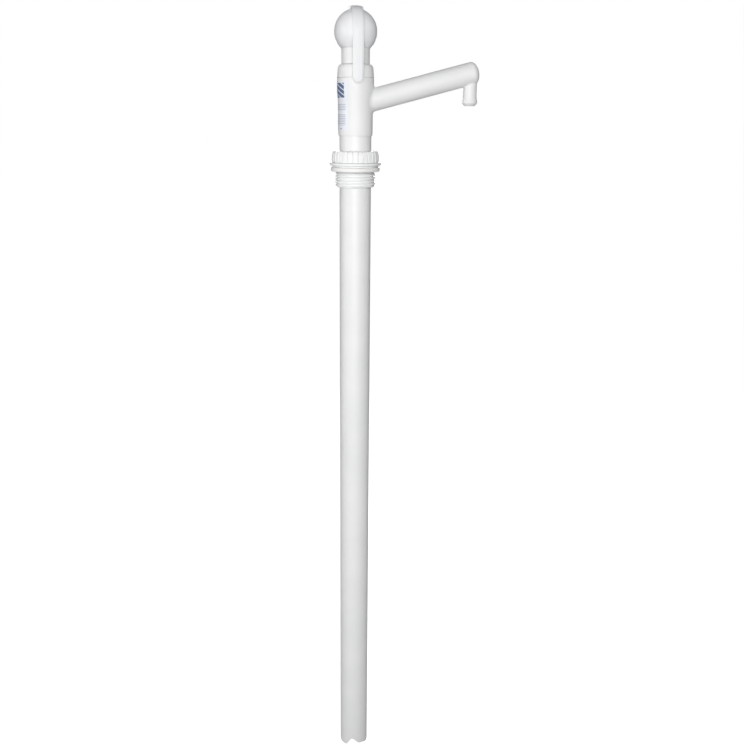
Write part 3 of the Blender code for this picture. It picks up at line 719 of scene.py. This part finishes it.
def lug(side):
    """An ear of the hinge: a shoulder that rises from the ball's crest and rounds off outwards."""
    steps = 10
    tip_r = 0.8
    foot_z = PIN_Z - 8.0    # inside the ball
    shape = bmesh.new()
    rings = []
    for step in range(steps + 1):
        share = math.sin(math.pi / 2 * step / steps)
        shrink = math.cos(math.pi / 2 * step / steps)
        x = EAR_INNER + (EAR_OUTER - EAR_INNER) * share
        radius = tip_r + (KNUCKLE_END_R - tip_r) * shrink
        rise = -KNUCKLE_END_R * (1.0 - shrink)
        ring = [(side * x, PIN_Y - radius - 0.9, foot_z)]
        for y, z in arc((0.0, rise), radius, 175, 5, 16):
            ring.append((side * x, PIN_Y + y, PIN_Z + z))
        ring.append((side * x, PIN_Y + radius + 0.9, foot_z))
        rings.append(ring)
    made = skin(shape, rings)
    shape.faces.new(made[0])
    shape.faces.new(made[-1])
    return shape


def ball_grip():
    """The ball, with a groove in its crest for the strap's knuckle and an ear at each end of it."""
    start = -math.degrees(math.acos((NECK_R + GAP) / BALL_R))
    floor = NECK_TOP + GAP
    outline = [(0.0, BALL_Z + BALL_R)] + arc((0.0, BALL_Z), BALL_R, 90, start, 60)[1:]
    outline += [(NECK_R + GAP, floor), (0.0, floor)]
    ball = turned(outline, 128, closed=False)
    bmesh.ops.recalc_face_normals(ball, faces=ball.faces)
    groove = bmesh.new()
    bmesh.ops.create_cone(groove, cap_ends=True, segments=48, radius1=KNUCKLE_GROOVE_R * MM,
                          radius2=KNUCKLE_GROOVE_R * MM, depth=2 * EAR_INNER * MM)
    moved(groove, ALONG_PIN)
    cutter = temporary("groove", groove)
    blank = temporary("ball_blank", ball)
    change = blank.modifiers.new("groove", "BOOLEAN")
    change.object = cutter
    change.operation = "DIFFERENCE"
    change.solver = "EXACT"
    result = bmesh.new()
    result.from_object(blank, bpy.context.evaluated_depsgraph_get())
    for old in (blank, cutter):
        bpy.data.objects.remove(old, do_unlink=True)
    shape = merged(result, lug(-1), lug(1))
    piece("ball", shape, GLOSS_WHITE, "plunger", ["ball_grip"])


def neck():
    """The collar under the ball, with a blind socket for the rod."""
    bore = ROD_R + GAP
    ceiling = ROD_TOP + GAP
    outline = [(0.0, NECK_TOP, 0.0), (NECK_R, NECK_TOP, 0.8), (NECK_R, NECK_BOTTOM, 0.8),
               (bore, NECK_BOTTOM, 0.3), (bore, ceiling, 0.0), (0.0, ceiling, 0.0)]
    shape = turned(fillet(outline), 96, closed=False)
    piece("neck", shape, WHITE, "plunger", ["grip_neck"])


def rod():
    """The hollow rod between the grip and the piston."""
    between = [100.0, -300.0, -700.0]
    outline = [(ROD_R, ROD_TOP, 0.3)] + [(ROD_R, height, 0.0) for height in between]
    outline += [(ROD_R, ROD_BOTTOM, 0.3), (ROD_BORE_R, ROD_BOTTOM, 0.3)]
    outline += [(ROD_BORE_R, height, 0.0) for height in between[::-1]] + [(ROD_BORE_R, ROD_TOP, 0.3)]
    piece("rod", turned(fillet(outline), 72), PIPE, "plunger", ["piston_rod"])


def pin():
    """The hinge's wire; its ends stay hidden in the ears' rounded shoulders."""
    half = EAR_INNER + 1.3
    outline = [(0.0, half, 0.0), (PIN_R, half, 0.35), (PIN_R, -half, 0.35), (0.0, -half, 0.0)]
    shape = turned(fillet(outline), 32, closed=False)
    moved(shape, ALONG_PIN)
    piece("hinge_pin", shape, STEEL, "plunger", ["strap_pin"])


def strap_height(edge):
    """How proud the strap's face stands at a distance in from its outline."""
    margin = 1.5    # the width of the thin border round the pillowed middle
    rim = 0.35 + 0.65 * math.sqrt(max(0.0, 1.0 - (1.0 - min(1.0, edge / 0.8)) ** 2))
    crown = 0.35 * min(1.0, max(0.0, edge - margin) / (STRAP_HALF - margin))
    return 1.75 * rim + (0.7 + crown) * smoothstep((edge - margin) / 0.9)


def strap_path():
    """The middle of the strap's inner face: round the ball's front, then down and slightly inwards."""
    path = []
    for step in range(37):
        a = math.radians(5.0 + 85.0 * step / 36)
        path.append(Vector((0.0, -STRAP_IN_R * math.sin(a), BALL_Z + STRAP_IN_R * math.cos(a))))
    start = path[-1]
    count = 56
    for step in range(1, count + 1):
        share = 1 - (1 - step / count) ** 1.7
        path.append(start + Vector((0.0, STRAP_LEAN, STRAP_TIP_Z - start.z)) * share)
    return path


def strap_ring(point, out):
    """The strap's cross-section at a point of its path, where out points away from the ball."""
    columns = 44
    flare = max(0.0, min(1.0, (point.z - 165.0) / 35.0)) * min(1.0, (231.5 - point.z) / 9.0)
    wide = STRAP_HALF + 0.3 * flare
    drop = max(0.0, STRAP_TIP_Z + STRAP_HALF - point.z)
    half = max(0.25, wide * math.sqrt(max(0.0, 1 - (drop / STRAP_HALF) ** 2)))
    top, under = [], []
    for column in range(columns + 1):
        across = -math.cos(math.pi * column / columns) * half
        edge = max(0.0, wide - math.hypot(across, drop * wide / STRAP_HALF))
        foot = point + Vector((across, 0, 0))
        top.append(foot + out * strap_height(edge))
        under.append(foot + out * 0.35 * (1.0 - min(1.0, edge / 0.5)))
    return top + under[::-1]


def knuckle():
    """The strap's rounded barrel round the hinge pin, stoutest in its middle."""
    half = [(PIN_R + GAP, STRAP_HALF, 0.2), (KNUCKLE_END_R, STRAP_HALF, 0.3),
            (KNUCKLE_R - 0.3, 0.62 * STRAP_HALF, 3.0), (KNUCKLE_R, 0.2 * STRAP_HALF, 2.0)]
    other = [(radius, -along, rounding) for radius, along, rounding in half[::-1]]
    return moved(turned(fillet(half + other), 40), ALONG_PIN)


def strap():
    """A band from the hinge at the crest, over the ball's front, to a rounded tip in front of the body."""
    path = strap_path()
    rings = []
    for index, point in enumerate(path):
        along = path[min(len(path) - 1, index + 1)] - path[max(0, index - 1)]
        out = along.normalized().cross(Vector((1, 0, 0))).normalized()
        if out.y > 0:
            out = -out
        rings.append(strap_ring(point, out))
    band = bmesh.new()
    made = skin(band, rings)
    band.faces.new(made[0])
    band.faces.new(made[-1])
    # The strap gets the darker copy of the white moulding: painted shade against the lamp's light.
    piece("strap", merged(band, knuckle()), STRAP_PAINTED_SHADE_WHITE, "strap", ["latch_strap"])


# ---------------------------------------------------------------- bung adaptor, gasket and nut

def thread_radius(turn, height):
    """A rounded ridge that climbs one pitch a turn and fades out at both ends."""
    phase = math.cos(TAU * height / THREAD_PITCH - turn)
    ridge = min(1.0, 1.4 * (1.0 + phase))
    fade = min(1.0, (THREAD_TOP - height) / 1.6, (height - THREAD_BOTTOM) / 2.6 + 0.1)
    return THREAD_ROOT_R + (THREAD_R - THREAD_ROOT_R) * ridge * max(0.0, fade)


def bung():
    """The adaptor: collar, flange, boss, thread, and a bore with a pocket for the clamp seal."""
    steps = 160
    rows = 130
    turns = [TAU * step / steps for step in range(steps)]
    boss_bottom = GASKET_TOP + GAP
    upper = fillet([(SEAL_POCKET_R, ADAPTOR_TOP, 0.3), (ADAPTOR_NECK_R, ADAPTOR_TOP, 0.5),
                    (ADAPTOR_NECK_R, FLANGE_HIGH, 0.8), (FLANGE_R, FLANGE_HIGH, 1.8),
                    (FLANGE_R, FLANGE_LOW, 1.8), (BOSS_R, FLANGE_LOW, 0.8), (BOSS_R, boss_bottom, 0.2),
                    (ADAPTOR_RELIEF_R, boss_bottom, 0.2)])
    rings = [ring_at(radius, height, steps) for radius, height in upper]
    rings.append(ring_at(ADAPTOR_RELIEF_R, THREAD_TOP + 0.6, steps))
    for row in range(rows + 1):
        height = THREAD_TOP + (THREAD_BOTTOM - THREAD_TOP) * row / rows
        chamfer = max(0.0, THREAD_BOTTOM + 1.0 - height) * 0.6
        radii = [thread_radius(turn, height) - chamfer for turn in turns]
        rings.append([(radius * math.cos(turn), radius * math.sin(turn), height)
                      for radius, turn in zip(radii, turns)])
    lower = [(26.6, THREAD_BOTTOM), (ADAPTOR_BORE_R + 0.3, THREAD_BOTTOM),
             (ADAPTOR_BORE_R, THREAD_BOTTOM + 0.3), (ADAPTOR_BORE_R, SEAL_POCKET_FLOOR),
             (SEAL_POCKET_R, SEAL_POCKET_FLOOR)]
    rings += [ring_at(radius, height, steps) for radius, height in lower]
    shape = bmesh.new()
    skin(shape, rings, wrap_rings=True)
    piece("bung", shape, FITTING_WHITE, "bung", ["bung_adaptor"])


def gasket():
    """The soft ring under the adaptor's flange."""
    bore = THREAD_R + GAP
    outline = [(bore, GASKET_TOP, 0.3), (GASKET_R, GASKET_TOP, 1.9), (GASKET_R, 0.0, 1.9), (bore, 0.0, 0.3)]
    piece("gasket", turned(fillet(outline, 6), 128), GASKET, "bung", ["bung_gasket"])


def nut():
    """A ring with narrow grooves between its ribs, which run up its side and in over its top."""
    steps = NUT_RIBS * 28
    turns = [TAU * step / steps for step in range(steps)]

    def groove(turn):
        """The groove's depth at a turn; the share is 1 in a rib's middle and 0 in a groove's."""
        share = 1.0 - abs((turn / TAU * NUT_RIBS) % 1.0 - 0.5) * 2
        return NUT_GROOVE * (1.0 - smoothstep((share - 0.10) / 0.16))

    bore = ADAPTOR_BORE_R + 0.25
    side = fillet([(26.4, NUT_TOP, 0.0), (28.4, NUT_TOP, 0.0), (33.6, NUT_TOP - 0.3, 2.6),
                   (NUT_RIB_R, 24.0, 5.0), (NUT_RIB_R, NUT_BOTTOM, 0.5), (33.0, NUT_BOTTOM, 0.0)], 7)
    rings = [ring_at(bore, NUT_CAVITY_TOP, steps), ring_at(bore, NUT_TOP - 0.5, steps),
             ring_at(bore + 0.5, NUT_TOP, steps), ring_at(side[0][0], NUT_TOP, steps)]
    for (r_a, z_a), (radius, height), (r_b, z_b) in zip(side, side[1:], side[2:]):
        span = math.hypot(r_b - r_a, z_b - z_a)
        out_r, out_z = (z_a - z_b) / span, (r_b - r_a) / span
        reach = min(1.0, (radius - side[0][0]) / 2.0) * (1.0 if height > NUT_BOTTOM + 0.01 else 0.0)
        depth = [groove(turn) * reach for turn in turns]
        rings.append([((radius - sunk * out_r) * math.cos(turn), (radius - sunk * out_r) * math.sin(turn),
                       height - sunk * out_z) for turn, sunk in zip(turns, depth)])
    rings += [ring_at(NUT_CAVITY_R, NUT_BOTTOM, steps), ring_at(NUT_CAVITY_R, NUT_CAVITY_TOP, steps)]
    shape = bmesh.new()
    skin(shape, rings, wrap_rings=True)
    piece("nut", shape, FITTING_WHITE, "nut", ["compression_nut"], sharp=35.0)


# ---------------------------------------------------------------- foot valve and the rest

def foot_valve():
    """The seat near the tube's foot, and the ball that lifts off it."""
    low = corner("foot_valve_seat", False)[2]
    high = corner("foot_valve_seat", True)[2]
    outline = [(VALVE_SEAT_R, high, 0.5), (VALVE_SEAT_R, low, 0.5), (VALVE_SEAT_BORE_R, low, 0.8),
               (VALVE_SEAT_BORE_R, high - 1.5, 0.3), (VALVE_SEAT_BORE_R + 1.5, high, 0.3)]
    piece("valve_seat", turned(fillet(outline), 96), WHITE, "barrel", ["foot_valve_seat"])
    middle = corner("foot_valve_ball", False)[2] + VALVE_BALL_R
    outline = [(0.0, middle + VALVE_BALL_R)] + arc((0.0, middle), VALVE_BALL_R, 90, -90, 32)[1:-1]
    outline += [(0.0, middle - VALVE_BALL_R)]
    ball = turned(outline, 48, closed=False)
    piece("valve_ball", ball, RUBBER, "foot_valve", ["foot_valve_ball"])


suction_tube()
pump_body()
gland_cap()
spout_arm()
nozzle()
label()
ball_grip()
neck()
rod()
pin()
strap()
bung()
gasket()
nut()
foot_valve()

# The frame's own solids that stay get a finished material too.
FINISHES = {
    "guide_bush": GASKET, "wiper_seal": RUBBER, "tube_end_seal": RUBBER, "foot_valve_cage": WHITE,
    "rod_end_fitting": WHITE, "piston_disc": WHITE, "piston_cup": RUBBER, "piston_nut": WHITE,
    "piston_valve_disc": RUBBER, "clamp_seal": RUBBER, "thrust_washer": WHITE,
}
for node, material in FINISHES.items():
    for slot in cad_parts[node].material_slots:
        slot.material = material
